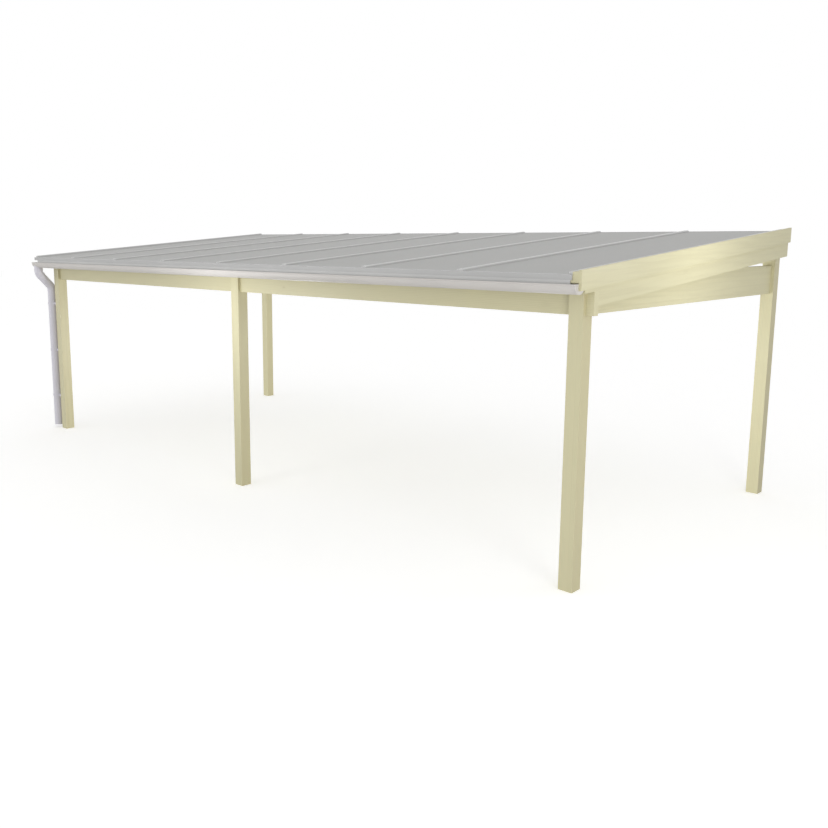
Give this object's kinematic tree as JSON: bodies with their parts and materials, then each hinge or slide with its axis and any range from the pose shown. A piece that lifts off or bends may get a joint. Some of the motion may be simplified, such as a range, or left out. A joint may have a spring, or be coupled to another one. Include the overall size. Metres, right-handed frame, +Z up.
{
  "type": "open garden room frame",
  "caption": "Open post and beam timber frame under a shallow lean-to roof of opaque sheets, with a gutter and downpipe along its low front edge.",
  "frame": {"origin": "centre of the middle front post's foot, on the ground", "axes": "+X along the front to the right as seen from the front, +Y to the rear, +Z up"},
  "size_m": [8.4773, 4.03, 2.7595],
  "materials": {
    "timber": "planed laminated timber with a pale cream stain, satin",
    "roof_sheet": "light grey opaque sheet, satin",
    "bar": "light grey powder coat, satin",
    "gutter": "light grey moulded plastic, satin"
  },
  "bodies": {
    "root": {"front_left_post": "timber", "front_middle_post": "timber", "front_right_post": "timber", "rear_left_post": "timber", "rear_right_post": "timber", "front_left_beam": "timber", "front_right_beam": "timber", "left_side_beam": "timber", "right_side_beam": "timber", "rear_beam": "timber", "rafter_1": "timber", "rafter_2": "timber", "rafter_3": "timber", "rafter_4": "timber", "rafter_5": "timber", "rafter_6": "timber", "rafter_7": "timber", "left_outer_rafter": "timber", "right_outer_rafter": "timber", "barge_board": "timber", "roof_sheet_1": "roof_sheet", "roof_sheet_2": "roof_sheet", "roof_sheet_3": "roof_sheet", "roof_sheet_4": "roof_sheet", "roof_sheet_5": "roof_sheet", "roof_sheet_6": "roof_sheet", "roof_sheet_7": "roof_sheet", "roof_sheet_8": "roof_sheet", "left_edge_bar": "bar", "glazing_bar_1": "bar", "glazing_bar_2": "bar", "glazing_bar_3": "bar", "glazing_bar_4": "bar", "glazing_bar_5": "bar", "glazing_bar_6": "bar", "glazing_bar_7": "bar", "right_edge_bar": "bar", "eaves_profile": "bar", "drip_plate": "bar", "rear_profile": "bar", "gutter": "gutter", "gutter_brackets": "gutter", "upper_bend": "gutter", "lower_bend": "gutter", "downpipe": "gutter", "pipe_clips": "gutter"}
  },
  "joints": []
}
